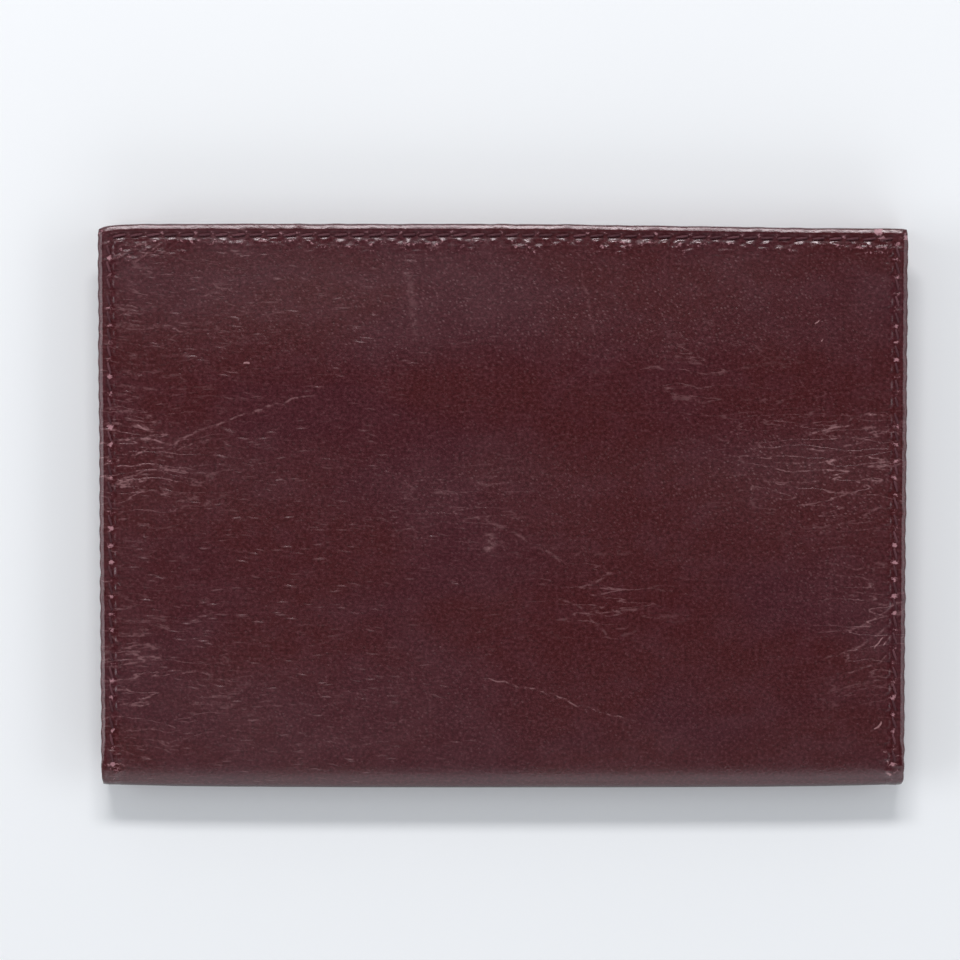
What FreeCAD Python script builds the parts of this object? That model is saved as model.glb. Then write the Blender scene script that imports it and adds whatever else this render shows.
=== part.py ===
"""Folding leather travel document organizer, closed and lying on its back cover.

Frame: +X along the spine, +Y from the spine to the fore edge, +Z up through the closed stack.
The origin is the middle of the footprint, on the surface that the back cover rests on.
The two halves are built alike, each from its outer face inwards; the front half is then
turned over onto the back half. Open like a book with the spine on the left, -X is the top.
"""

import FreeCAD
import Part
import math
import os

from FreeCAD import Vector

# Driving dimensions, in millimetres.
LENGTH = 145.0  # along the spine
DEPTH = 101.5  # from the spine to the fore edge, closed
CORNER = 1.6  # plan radius of the two free corners of each cover

# Thickness of each layer, from the outer face of a half inwards.
LEATHER = 0.9
BOARD = 0.5
LINING = 0.2
HEM = 0.7
POCKET = 0.7
CARD_LEATHER = 0.5
PANE = 0.25
FRAME = 0.6
THREAD = 0.25
PAGE_GAP = 0.3  # between the innermost threads of the two halves

# Sewing.
SEAM_INSET = 1.9  # edge of the cover to the stitch line
SEAM_END = 3.4  # outside of the spine to the first stitch
STITCH_PITCH = 3.05
STITCH_LENGTH = 2.45
STITCH_WIDTH = 0.5
GROOVE_WIDTH = 0.8
GROOVE_DEPTH = 0.35

# Turned edges.
HEM_WIDTH = 9.0
HEM_SPINE_END = 2.5  # outside of the spine to the end of the turned hem
EDGE_ROUND = 0.7
SET_BACK = 0.8  # pocket edges stand this far inside the cover's edge
BOARD_INSET = 1.1
BOARD_SPINE_END = 6.2
LINING_SPINE_END = 2.6

# Pockets.
MOUTH_TO_SPINE = 8.0  # outside of the spine to the mouth of the big pockets
THUMB_X = -49.0  # between the top edge and the ticket pocket
THUMB_RADIUS = 11.0
THUMB_DEPTH = 7.0
CARD_SLOTS = 3
CARD_STEP = 12.0
FIRST_SLOT_MOUTH = -4.0
SLOT_SIDE = 1.5  # big pocket's mouth to the side of the slots and the window
WINDOW_BOTTOM = -10.0
WINDOW_BORDER = 8.0
TICKET_MOUTH = -26.0

# Fold lines. Each stands one leather thickness and a hair inside both outer faces.
FOLD_INSET = 1.0
FOLD_GAP = 0.15  # from a fold line to the end of a cover
STRIP_GAP = 0.2  # from a fold line to the end of the spine strip

# Sizes that follow from those above.
X_EDGE = LENGTH / 2
Y_SPINE = -DEPTH / 2
Y_EDGE = DEPTH / 2
Y_FOLD = Y_SPINE + FOLD_INSET
Y_MOUTH = Y_SPINE + MOUTH_TO_SPINE
Z_LINING = LEATHER + BOARD
Z_HEM = Z_LINING + LINING
Z_POCKET = Z_HEM + HEM
Z_ON_POCKET = Z_POCKET + POCKET
Z_ON_CARDS = Z_ON_POCKET + CARD_SLOTS * CARD_LEATHER
Z_ON_WINDOW = Z_ON_POCKET + PANE + FRAME
Z_ON_TICKET = Z_ON_POCKET + POCKET
THICKNESS = Z_ON_CARDS + Z_ON_TICKET + 2 * THREAD + PAGE_GAP
SLOT_Y = Y_MOUTH + SLOT_SIDE

UP = Vector(0, 0, 1)


def slab(x, y, z):
    """A box from its (low, high) pairs along X, Y and Z."""
    size = [high - low for low, high in (x, y, z)]
    return Part.makeBox(*size, Vector(x[0], y[0], z[0]))


def edges_where(shape, test):
    """The straight edges whose two ends both pass the test."""
    return [e for e in shape.Edges if len(e.Vertexes) == 2 and all(test(v.Point) for v in e.Vertexes)]


def near(a, b):
    return abs(a - b) < 1e-6


def round_fore_corners(shape, x_edge, y_edge, radius):
    """Rounds the two upright edges at the fore-edge corners."""
    corners = edges_where(shape, lambda p: near(abs(p.x), x_edge) and near(p.y, y_edge))
    upright = [e for e in corners if near(e.Vertexes[0].X, e.Vertexes[1].X)]
    return shape.makeFillet(radius, upright)


def soften(shape, z, radius, keep_y):
    """Rounds the rim of the face at height z, except its edge along the spine side."""
    rim = [
        e
        for e in shape.Edges
        if all(near(v.Z, z) for v in e.Vertexes) and not all(near(v.Y, keep_y) for v in e.Vertexes)
    ]
    return shape.makeFillet(radius, rim)


def seam_runs():
    """The U of the cover seam: three runs, each (start, direction, length)."""
    x = X_EDGE - SEAM_INSET
    y_start = Y_SPINE + SEAM_END
    y_top = Y_EDGE - SEAM_INSET
    side = y_top - y_start
    return [
        (Vector(-x, y_start, 0), Vector(0, 1, 0), side),
        (Vector(-x, y_top, 0), Vector(1, 0, 0), 2 * x),
        (Vector(x, y_top, 0), Vector(0, -1, 0), side),
    ]


def stitch(centre, direction, z_low, z_high):
    """One flat stitch with round ends, lying along a direction."""
    half = (STITCH_LENGTH - STITCH_WIDTH) / 2
    across = UP.cross(direction) * (STITCH_WIDTH / 2)
    along = direction * half
    tip = direction * (half + STITCH_WIDTH / 2)
    corners = [
        centre + along + across,
        centre + along - across,
        centre - along - across,
        centre - along + across,
    ]
    outline = Part.Wire(
        [
            Part.Arc(corners[0], centre + tip, corners[1]).toShape(),
            Part.makeLine(corners[1], corners[2]),
            Part.Arc(corners[2], centre - tip, corners[3]).toShape(),
            Part.makeLine(corners[3], corners[0]),
        ]
    )
    outline.translate(Vector(0, 0, z_low))
    return Part.Face(outline).extrude(Vector(0, 0, z_high - z_low))


def stitch_run(run, z_at):
    """A row of stitches along one run. z_at gives the low and high side of the thread at a point."""
    start, direction, length = run
    count = int(length / STITCH_PITCH)
    margin = (length - count * STITCH_PITCH) / 2
    made = []
    for i in range(count):
        centre = start + direction * (margin + (i + 0.5) * STITCH_PITCH)
        ends = [centre + direction * (side * STITCH_LENGTH / 2) for side in (-1, 0, 1)]
        low = max(z_at(p)[0] for p in ends)
        made.append(stitch(centre, direction, low, low + THREAD))
    return made


def cover():
    """The outer leather of one half, with the groove that its seam lies in."""
    panel = slab((-X_EDGE, X_EDGE), (Y_FOLD + FOLD_GAP, Y_EDGE), (0, LEATHER))
    panel = round_fore_corners(panel, X_EDGE, Y_EDGE, CORNER)
    panel = soften(panel, 0, EDGE_ROUND, Y_FOLD + FOLD_GAP)
    half = GROOVE_WIDTH / 2
    for start, direction, length in seam_runs():
        end = start + direction * length
        x = sorted((start.x, end.x))
        y = sorted((start.y, end.y))
        channel = slab((x[0] - half, x[1] + half), (y[0] - half, y[1] + half), (-1, GROOVE_DEPTH))
        panel = panel.cut(channel)
    return panel


def hem():
    """The turned edge of the cover leather: three L-shaped strips, mitred at the corners."""
    y_end = Y_SPINE + HEM_SPINE_END
    inside_x = X_EDGE - LEATHER
    inside_y = Y_EDGE - LEATHER
    free_x = X_EDGE - HEM_WIDTH
    free_y = Y_EDGE - HEM_WIDTH
    frame = slab((-X_EDGE, X_EDGE), (y_end, Y_EDGE), (LEATHER, Z_POCKET))
    frame = round_fore_corners(frame, X_EDGE, Y_EDGE, CORNER)
    frame = soften(frame, Z_POCKET, EDGE_ROUND, y_end)
    frame = frame.cut(slab((-inside_x, inside_x), (y_end - 1, inside_y), (0, Z_HEM)))
    frame = frame.cut(slab((-free_x, free_x), (y_end - 1, free_y), (0, Z_POCKET + 1)))
    mitred = []
    for plan in (
        [(-X_EDGE, Y_EDGE), (X_EDGE, Y_EDGE), (free_x, free_y), (-free_x, free_y)],
        [(-X_EDGE, Y_EDGE), (-free_x, free_y), (-free_x, y_end), (-X_EDGE, y_end)],
        [(X_EDGE, Y_EDGE), (free_x, free_y), (free_x, y_end), (X_EDGE, y_end)],
    ):
        points = [Vector(x, y, 0) for x, y in plan]
        prism = Part.Face(Part.makePolygon(points + points[:1])).extrude(Vector(0, 0, Z_POCKET + 1))
        mitred.append(frame.common(prism).Solids[0])
    return Part.makeCompound(mitred)


def board():
    """The stiffener inside a cover."""
    x = X_EDGE - BOARD_INSET
    return slab((-x, x), (Y_SPINE + BOARD_SPINE_END, Y_EDGE - BOARD_INSET), (LEATHER, Z_LINING))


def lining():
    """The fabric over the stiffener, tucked under the hem."""
    x = X_EDGE - BOARD_INSET
    return slab((-x, x), (Y_SPINE + LINING_SPINE_END, Y_EDGE - BOARD_INSET), (Z_LINING, Z_HEM))


def inner_panel(x, y_low, z_low, thickness):
    """A panel caught in the cover seam. Its fore edge and any side that reaches the seam are set back."""
    x_seam = X_EDGE - SET_BACK
    panel = slab(x, (y_low, Y_EDGE - SET_BACK), (z_low, z_low + thickness))
    corners = [
        e
        for e in panel.Edges
        if all(near(abs(v.X), x_seam) and near(v.Y, Y_EDGE - SET_BACK) for v in e.Vertexes)
        and near(e.Vertexes[0].X, e.Vertexes[1].X)
    ]
    return panel.makeFillet(CORNER - SET_BACK, corners)


def big_pocket():
    """A full-size slip pocket, sewn on three sides, with its mouth towards the spine."""
    x = X_EDGE - SET_BACK
    return inner_panel((-x, x), Y_MOUTH, Z_POCKET, POCKET)


def passport_pocket():
    """The slip pocket with a thumb notch in its mouth."""
    middle = Vector(THUMB_X, Y_MOUTH + THUMB_DEPTH - THUMB_RADIUS, Z_POCKET - POCKET / 2)
    notch = Part.makeCylinder(THUMB_RADIUS, 2 * POCKET, middle)
    return big_pocket().cut(notch)


def ticket_pocket():
    """A shorter pocket over the passport pocket, with its mouth towards the top."""
    return inner_panel((TICKET_MOUTH, X_EDGE - SET_BACK), SLOT_Y, Z_ON_POCKET, POCKET)


def slot_mouth(index):
    return FIRST_SLOT_MOUTH + index * CARD_STEP


def card_slot(index):
    """One stepped card slot, counted from the deepest."""
    z = Z_ON_POCKET + index * CARD_LEATHER
    return inner_panel((slot_mouth(index), X_EDGE - SET_BACK), SLOT_Y, z, CARD_LEATHER)


def window_pane():
    """The clear sheet of the identity window."""
    return inner_panel((-(X_EDGE - SET_BACK), WINDOW_BOTTOM), SLOT_Y, Z_ON_POCKET, PANE)


def window_frame():
    """The leather border round the clear sheet."""
    x_low = -(X_EDGE - SET_BACK)
    border = inner_panel((x_low, WINDOW_BOTTOM), SLOT_Y, Z_ON_POCKET + PANE, FRAME)
    opening = slab(
        (x_low + WINDOW_BORDER, WINDOW_BOTTOM - WINDOW_BORDER),
        (SLOT_Y + WINDOW_BORDER, Y_EDGE - SET_BACK - WINDOW_BORDER),
        (0, THICKNESS),
    )
    return border.cut(opening)


def inner_level(point, on_sides, steps):
    """Height of the topmost layer under an inner stitch: hem, pocket, or what is sewn on the pocket."""
    if point.y < Y_MOUTH:
        return Z_POCKET
    if point.y < on_sides:
        return Z_ON_POCKET
    return next(z for low, high, z in steps if low <= point.x <= high)


def cover_seam(steps):
    """The thread of the cover seam: one row on the outer face and one on the inner face."""
    made = []
    for run in seam_runs():
        made += stitch_run(run, lambda p: (GROOVE_DEPTH - THREAD, GROOVE_DEPTH))
        made += stitch_run(run, lambda p: (inner_level(p, SLOT_Y, steps), 0))
    return Part.makeCompound(made)


def back_steps():
    """Topmost layer of the back half along X: window frame, bare pocket, then each card slot."""
    steps = [(-X_EDGE, WINDOW_BOTTOM, Z_ON_WINDOW), (WINDOW_BOTTOM, slot_mouth(0), Z_ON_POCKET)]
    for i in range(CARD_SLOTS):
        low = slot_mouth(i)
        high = slot_mouth(i + 1) if i + 1 < CARD_SLOTS else X_EDGE
        steps.append((low, high, Z_ON_POCKET + (i + 1) * CARD_LEATHER))
    return steps


def front_steps():
    """Topmost layer of the front half along X: bare passport pocket, then the ticket pocket."""
    return [(-X_EDGE, TICKET_MOUTH, Z_ON_POCKET), (TICKET_MOUTH, X_EDGE, Z_ON_TICKET)]


def side_seam(x_low, x_high, steps):
    """The seam that closes the spine side of the small pockets, sewn through the big pocket only."""
    y = SLOT_Y + SEAM_INSET
    run = (Vector(x_low, y, 0), Vector(1, 0, 0), x_high - x_low)
    return stitch_run(run, lambda p: (inner_level(p, SLOT_Y, steps), 0))


def cross_seam(x, z):
    """A row of stitches across a half, beside a mouth or the bottom of the window."""
    y_low = SLOT_Y + SEAM_INSET
    run = (Vector(x, y_low, 0), Vector(0, 1, 0), Y_EDGE - SEAM_INSET - STITCH_PITCH - y_low)
    return stitch_run(run, lambda p: (z, 0))


def card_seams():
    """Side seam of the card slots and the top stitching of each slot's turned mouth."""
    x_end = X_EDGE - SEAM_INSET - STITCH_PITCH / 2
    made = side_seam(slot_mouth(0) + SEAM_INSET + STITCH_PITCH / 2, x_end, back_steps())
    for i in range(CARD_SLOTS):
        made += cross_seam(slot_mouth(i) + SEAM_INSET, Z_ON_POCKET + (i + 1) * CARD_LEATHER)
    return Part.makeCompound(made)


def window_seams():
    """The seams along the two sides of the window that the cover seam doesn't reach."""
    x_low = -(X_EDGE - SEAM_INSET) + STITCH_PITCH / 2
    x_high = WINDOW_BOTTOM - SEAM_INSET
    made = side_seam(x_low, x_high - STITCH_PITCH / 2, back_steps())
    made += cross_seam(x_high, Z_ON_WINDOW)
    return Part.makeCompound(made)


def ticket_seams():
    """Side seam of the ticket pocket and the top stitching of its turned mouth."""
    x_low = TICKET_MOUTH + SEAM_INSET
    made = side_seam(x_low + STITCH_PITCH / 2, X_EDGE - SEAM_INSET - STITCH_PITCH / 2, front_steps())
    made += cross_seam(x_low, Z_ON_TICKET)
    return Part.makeCompound(made)


def spine_leather():
    """The strip of cover leather between the two fold lines, standing upright while closed."""
    z = (FOLD_INSET + STRIP_GAP, THICKNESS - FOLD_INSET - STRIP_GAP)
    strip = slab((-X_EDGE, X_EDGE), (Y_SPINE, Y_SPINE + LEATHER), z)
    outer = edges_where(strip, lambda p: near(p.y, Y_SPINE))
    along = [e for e in outer if near(e.Vertexes[0].Z, e.Vertexes[1].Z)]
    return strip.makeFillet(LEATHER / 2, along)


def spine_lining():
    """The fabric on the inside of the spine."""
    inset = HEM_SPINE_END - FOLD_INSET
    x = X_EDGE - BOARD_INSET
    y = Y_SPINE + LEATHER
    return slab((-x, x), (y, y + LINING), (FOLD_INSET + inset / 2, THICKNESS - FOLD_INSET - inset / 2))


def turned_over(shape):
    """A piece of the front half, built as if it were the back half, put where it lies when closed."""
    return shape.mirror(Vector(0, 0, THICKNESS / 2), UP)


def half(prefix):
    """The pieces that both halves share."""
    return {
        prefix + "_cover": cover(),
        prefix + "_turned_hem": hem(),
        prefix + "_board": board(),
        prefix + "_lining": lining(),
    }


def build():
    back = half("back")
    back["document_pocket"] = big_pocket()
    for i in range(CARD_SLOTS):
        back[f"card_slot_{i + 1}"] = card_slot(i)
    back["id_window_pane"] = window_pane()
    back["id_window_frame"] = window_frame()
    back["back_cover_stitching"] = cover_seam(back_steps())
    back["card_slot_stitching"] = card_seams()
    back["id_window_stitching"] = window_seams()

    front = half("front")
    front["passport_pocket"] = passport_pocket()
    front["ticket_pocket"] = ticket_pocket()
    front["front_cover_stitching"] = cover_seam(front_steps())
    front["ticket_pocket_stitching"] = ticket_seams()

    spine = {"spine_leather": spine_leather(), "spine_lining": spine_lining()}
    return {**back, **{name: turned_over(shape) for name, shape in front.items()}, **spine}


def main():
    os.makedirs("parts", exist_ok=True)
    for name, shape in build().items():
        shape.exportStep(f"parts/{name}.step")
    print(f"closed size {LENGTH} x {DEPTH} x {THICKNESS:.2f} mm, FreeCAD {FreeCAD.Version()[0]}")


main()
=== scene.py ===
"""The looks of a leather travel document organizer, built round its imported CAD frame.

Every piece is first laid out flat, in millimetres, on one half of the opened skin:
x runs along the spine, s runs from the middle of the spine to the fore edge, and n is the depth
below the outer face. place() then bends it round the spine and puts it where it lies when closed.
"""

import math

import bpy
import numpy as np
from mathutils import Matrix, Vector


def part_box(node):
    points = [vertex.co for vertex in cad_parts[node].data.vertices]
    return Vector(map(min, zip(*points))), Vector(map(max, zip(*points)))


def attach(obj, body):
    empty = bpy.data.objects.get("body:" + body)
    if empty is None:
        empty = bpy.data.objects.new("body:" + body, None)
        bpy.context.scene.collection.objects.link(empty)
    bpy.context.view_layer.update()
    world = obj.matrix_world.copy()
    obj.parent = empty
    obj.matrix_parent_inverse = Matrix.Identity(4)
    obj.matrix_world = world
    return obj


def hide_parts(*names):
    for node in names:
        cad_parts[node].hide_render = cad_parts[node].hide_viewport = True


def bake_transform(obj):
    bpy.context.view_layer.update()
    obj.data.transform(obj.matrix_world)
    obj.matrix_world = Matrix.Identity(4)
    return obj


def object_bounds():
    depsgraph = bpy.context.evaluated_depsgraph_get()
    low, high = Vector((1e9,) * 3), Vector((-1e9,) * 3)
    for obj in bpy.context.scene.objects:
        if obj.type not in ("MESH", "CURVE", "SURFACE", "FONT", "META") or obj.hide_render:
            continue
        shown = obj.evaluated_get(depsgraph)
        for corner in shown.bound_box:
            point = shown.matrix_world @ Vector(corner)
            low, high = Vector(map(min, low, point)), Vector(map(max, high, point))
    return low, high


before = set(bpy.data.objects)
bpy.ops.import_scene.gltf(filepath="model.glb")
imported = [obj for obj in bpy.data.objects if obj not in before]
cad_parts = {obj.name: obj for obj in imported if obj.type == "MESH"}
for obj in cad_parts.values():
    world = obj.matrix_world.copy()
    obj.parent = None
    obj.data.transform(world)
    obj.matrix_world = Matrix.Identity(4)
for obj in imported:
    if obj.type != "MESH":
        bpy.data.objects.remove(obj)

CAD_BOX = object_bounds()
MM = 0.001


def cad_box(node):
    """A CAD node's lowest and highest corners, in millimetres."""
    low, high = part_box(node)
    return np.array(low) / MM, np.array(high) / MM


# Sizes from the CAD, in millimetres.
THICKNESS = CAD_BOX[1].z / MM
X_EDGE = CAD_BOX[1].x / MM
Y_SPINE = CAD_BOX[0].y / MM
Y_EDGE = CAD_BOX[1].y / MM
COVER_TOP = cad_box("back_cover")[1][2]
HEM_TOP = cad_box("back_turned_hem")[1][2]
LINING_TOP = cad_box("back_lining")[1][2]
X_LINING = cad_box("back_lining")[1][0]

# The soft spine: a bend that tightens towards its middle, where the two halves meet. The tables
# give the turn, and the y and z of the outer face, at points along a half's share of the bend.
BEND_EASE = 1.8
SPINE_THIN = 0.72  # share of its thickness that the skin keeps at the middle of the spine
BEND_SHARE = np.linspace(0.0, 1.0, 400)
BEND_TURN = math.pi / 2 * (1.0 - BEND_SHARE) ** BEND_EASE
ARC = THICKNESS / 2 / np.mean(np.sin(BEND_TURN))
BEND_STEP = ARC / (len(BEND_SHARE) - 1)
BEND_S = BEND_SHARE * ARC
BEND_Y = Y_SPINE + np.concatenate([[0.0], np.cumsum(np.cos(BEND_TURN[:-1]))]) * BEND_STEP
BEND_Z = np.concatenate([np.cumsum(np.sin(BEND_TURN[:0:-1]))[::-1], [0.0]]) * BEND_STEP
Y_TANGENT = BEND_Y[-1]
S_EDGE = ARC + Y_EDGE - Y_TANGENT

# Sewing, as in the CAD.
PITCH = 3.05
STITCH_LENGTH = 2.45
STITCH_RINGS, STITCH_AROUND = 15, 10  # rings along one stitch, and points round each
THREAD_ACROSS, THREAD_UP = 0.205, 0.16  # half widths of a stitch, along the leather and up from it
STITCH_RISE = 0.13  # how far the middle of a stitch stands above the seam
SEAM_INSET = 1.9
SEAM_END = 3.4
SLOT_SIDE = 1.5

THUMB_NOTCH = (-49.0, 11.0, 7.0)  # middle, radius and depth
WINDOW_BORDER = 8.0

# The turned edge: how far it rolls outwards, and its slope in degrees along the roll, which lingers
# where the leather leans over the edge of the board.
EDGE_ROUND = 0.95
ROLL_SHARE = (0.0, 0.10, 0.72, 1.0)
ROLL_SLOPE = (0.0, 20.5, 27.5, 90.0)
HEM_WIDTH = 9.0
PUCKER_LEAN = 0.75  # how far the wrinkles beside the fore edge lean, in radians

# Creases, scuffs and nicks of the front cover, seen with the spine at the bottom. Each is its two
# ends (x, y), the bow of its middle, its width, its depth (less than 0 for a ridge) and how pale it
# is painted: worn pale on the scuffs and nicks, a painted highlight along the creases and ridges.
FRONT_MARKS = [
    ((-63.8, 47.7), (-70.9, 44.4), 0.3, 0.40, -0.20, 0.30),
    ((-61.0, 47.6), (-66.8, 43.8), 0.3, 0.40, -0.19, 0.25),
    ((-58.6, 47.2), (-62.4, 45.2), 0.2, 0.34, -0.14, 0.15),
    ((-71.0, 11.6), (-59.5, 11.2), 1.0, 0.42, 0.07, 0.50),
    ((-60.0, 11.6), (-33.0, 20.6), 0.5, 0.40, 0.05, 0.34),
    ((-67.0, 9.4), (-60.5, 10.8), 0.3, 0.36, 0.06, 0.42),
    ((-59.0, 10.0), (-52.0, 12.6), 0.2, 0.34, 0.05, 0.30),
    ((-69.5, 4.6), (-61.0, 7.0), 0.4, 0.36, 0.05, 0.26),
    ((-66.0, 15.0), (-60.5, 13.6), -0.4, 0.30, 0.04, 0.30),
    ((54.5, 13.0), (62.5, 14.8), 0.3, 0.46, 0.06, 0.44),
    ((61.5, 15.6), (71.0, 15.6), 1.3, 0.40, 0.06, 0.40),
    ((65.0, 13.2), (71.2, 12.8), 0.8, 0.38, 0.05, 0.40),
    ((53.0, 10.6), (66.0, 12.4), -0.8, 0.36, 0.05, 0.30),
    ((48.0, 8.2), (63.0, 9.6), -0.9, 0.36, 0.05, 0.28),
    ((46.0, 5.2), (57.0, 5.0), -0.7, 0.34, 0.04, 0.22),
    ((57.0, -27.0), (70.5, -20.0), -1.6, 0.42, 0.05, 0.26),
    ((60.0, -30.0), (71.0, -25.0), -1.3, 0.40, 0.05, 0.24),
    ((62.0, -22.0), (71.0, -16.5), -0.9, 0.36, 0.05, 0.22),
    ((-4.5, -30.4), (8.5, -33.6), 0.3, 0.30, 0.03, 0.42),
    ((8.0, -33.0), (24.5, -38.4), -0.5, 0.30, 0.03, 0.40),
    ((-6.5, -1.0), (11.0, -10.0), 0.8, 0.60, 0.03, 0.16),
    ((9.0, -16.0), (19.0, -24.0), 1.6, 0.55, 0.03, 0.18),
    ((-2.4, -4.2), (-2.2, -8.8), 0.0, 2.20, 0.00, 0.26),
    ((-17.2, 43.0), (-15.8, 29.5), 0.3, 1.40, 0.00, 0.12),
    ((13.2, 44.5), (16.0, 31.0), 0.4, 0.50, 0.00, 0.12),
    ((-46.3, 26.0), (-45.2, 25.9), 0.0, 0.24, 0.04, 2.20),
    ((56.0, 33.4), (56.7, 33.9), 0.0, 0.24, 0.04, 1.60),
    ((57.0, 30.0), (57.4, 30.5), 0.0, 0.20, 0.04, 1.20),
    ((66.2, -40.6), (68.3, -38.4), -0.3, 0.34, 0.04, 1.10),
    ((70.0, -31.2), (70.5, -32.5), 0.0, 0.26, 0.03, 0.90),
    ((66.8, -25.8), (68.4, -23.4), 0.1, 0.26, 0.03, 0.70),
    ((68.5, -25.0), (70.2, -23.2), 0.1, 0.28, 0.03, 0.80),
    ((68.5, -43.8), (70.0, -45.1), 0.25, 0.26, 0.03, 1.00),
    ((70.2, -44.3), (70.7, -43.4), 0.1, 0.22, 0.02, 0.80),
    ((70.9, -45.3), (71.7, -45.0), 0.1, 0.24, 0.02, 1.00),
    ((69.4, -45.7), (69.6, -46.7), 0.1, 0.26, 0.02, 1.10),
    ((69.7, -47.2), (71.2, -47.0), 0.5, 0.24, 0.02, 1.10),
    ((69.3, -47.9), (70.3, -48.8), 0.1, 0.40, 0.03, 1.40),
    ((70.6, -48.2), (71.5, -47.8), -0.2, 0.22, 0.02, 0.80),
    ((-70.5, -43.8), (-69.4, -45.0), 0.1, 0.26, 0.03, 0.70),
    ((-71.4, -46.5), (-68.2, -46.9), 0.5, 0.34, 0.03, 0.75),
]
# Places where the finish has rubbed off: x, y, radius and how far it has gone.
RUBBED = [
    (67.1, 50.2, 0.8, 1.1),
    (67.9, 48.9, 0.7, 0.95),
    (72.0, 49.2, 0.7, 0.8),
    (-70.0, -47.2, 1.8, 0.42),
    (-72.0, 50.0, 0.9, 0.5),
]
BACK_MARK_COUNT = 14
# Where the finish has gone hazy: x, y, half widths along x and y, and how much (less than 0 where it
# has kept its depth).
HAZES = [
    (-50, 42, 40, 16, 0.9),
    (0, 40, 50, 9, 0.5),
    (-45, 8, 22, 10, 0.45),
    (48, 8, 24, 8, 0.65),
    (0, 4, 16, 9, 0.45),
    (-40, -38, 34, 13, 0.7),
    (10, -44, 60, 5, 0.5),
    (64, -24, 8, 16, 0.3),
    (-20, 20, 62, 8, -0.75),
    (36, 20, 42, 8, -0.7),
    (-25, 10, 14, 6, -0.4),
    (40, -20, 34, 10, -0.3),
]
# Where the pores show most, in the same terms.
SPECKLED = [
    (10, 36, 70, 13, 1),
    (56, 8, 22, 11, 1),
    (62, -12, 14, 18, 0.7),
    (-66, 6, 10, 12, 0.7),
    (-20, -36, 44, 9, 0.5),
    (0, 2, 44, 12, 0.6),
]
# Where the leather is finely creased, in the same terms.
CREASED = [
    (-66, 8, 13, 11, 1),
    (-64, -32, 14, 14, 0.7),
    (-60, 36, 18, 10, 0.5),
    (60, 8, 17, 9, 1),
    (66, -22, 9, 12, 0.8),
    (18, -16, 12, 7, 0.6),
    (34, 24, 14, 7, 0.5),
    (-8, 0, 12, 8, 0.4),
]


# ---- Shape helpers


def smooth(low, high, value):
    """0 below low, 1 above high, and a smooth step between."""
    t = np.clip((value - low) / (high - low), 0.0, 1.0)
    return t * t * (3.0 - 2.0 * t)


def bump(value, width):
    """1 at zero, falling away smoothly on both sides."""
    return np.exp(-((value / width) ** 2))


def noise(x, y, seed):
    """Smooth random heights from -1 to 1, one per unit square."""
    table = np.random.RandomState(seed).rand(128, 128) * 2.0 - 1.0
    column, row = np.floor(x), np.floor(y)
    fx, fy = smooth(0, 1, x - column), smooth(0, 1, y - row)
    column, row = column.astype(int), row.astype(int)

    def corner(dx, dy):
        return table[(column + dx) % 128, (row + dy) % 128]

    low = corner(0, 0) * (1 - fx) + corner(1, 0) * fx
    high = corner(0, 1) * (1 - fx) + corner(1, 1) * fx
    return low * (1 - fy) + high * fy


def s_of(y):
    """The place along the skin of a point of the flat part."""
    return ARC + y - Y_TANGENT


def y_of(s):
    """The y of a point of the flat part, from its place along the skin."""
    return s - ARC + Y_TANGENT


def outline_shift(x, s):
    """How the outline strays from a rectangle: a bowed spine, and a fore edge that droops at both ends."""
    share = s / S_EDGE
    spine = 0.45 * np.abs(x / X_EDGE) ** 3 - 0.5
    fore = -0.85 * smooth(-5.0, X_EDGE, x) - 0.9 * np.exp(-np.clip(x + X_EDGE, 0, None) / 2.2)
    return spine * (1 - share) ** 2 + fore * share**6


def place(x, s, n, front):
    """Bends flat points round the spine and puts them in the closed stack, in metres."""
    turn = np.interp(s, BEND_S, BEND_TURN)
    depth = n * (1.0 - (1.0 - SPINE_THIN) * smooth(0.0, 1.3, turn))
    y = np.interp(s, BEND_S, BEND_Y) + np.clip(s - ARC, 0.0, None) + depth * np.sin(turn)
    z = np.interp(s, BEND_S, BEND_Z) + depth * np.cos(turn)
    y = y + outline_shift(x, s)
    if front:
        z = THICKNESS - z
    return np.stack([x, y, z], axis=-1) * MM


def make_object(name, points, faces, flat, material, extra=None):
    """A smooth-shaded mesh that carries its flat coordinates for its material to read."""
    mesh = bpy.data.meshes.new(name)
    mesh.from_pydata(points.reshape(-1, 3).tolist(), [], faces)
    mesh.polygons.foreach_set("use_smooth", [True] * len(mesh.polygons))
    attribute = mesh.attributes.new("flat", "FLOAT_VECTOR", "POINT")
    attribute.data.foreach_set("vector", flat.astype(np.float32).ravel())
    for key, values in (extra or {}).items():
        attribute = mesh.attributes.new(key, "FLOAT", "POINT")
        attribute.data.foreach_set("value", values.astype(np.float32).ravel())
    mesh.validate()
    mesh.materials.append(material)
    obj = bpy.data.objects.new(name, mesh)
    bpy.context.scene.collection.objects.link(obj)
    return obj


def grid_faces(rows, columns, start=0, flip=False):
    """Quads of a grid of points stored row by row."""
    index = start + np.arange(rows * columns).reshape(rows, columns)
    corners = [index[:-1, :-1], index[:-1, 1:], index[1:, 1:], index[1:, :-1]]
    if flip:
        corners.reverse()
    return np.stack([c.ravel() for c in corners], axis=1).tolist()


def loop_faces(inner, outer, closed, flip=False):
    """Quads between two lists of point numbers that run side by side."""
    count = len(inner)
    steps = range(count if closed else count - 1)
    quads = [[inner[i], inner[(i + 1) % count], outer[(i + 1) % count], outer[i]] for i in steps]
    return [q[::-1] for q in quads] if flip else quads


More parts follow.
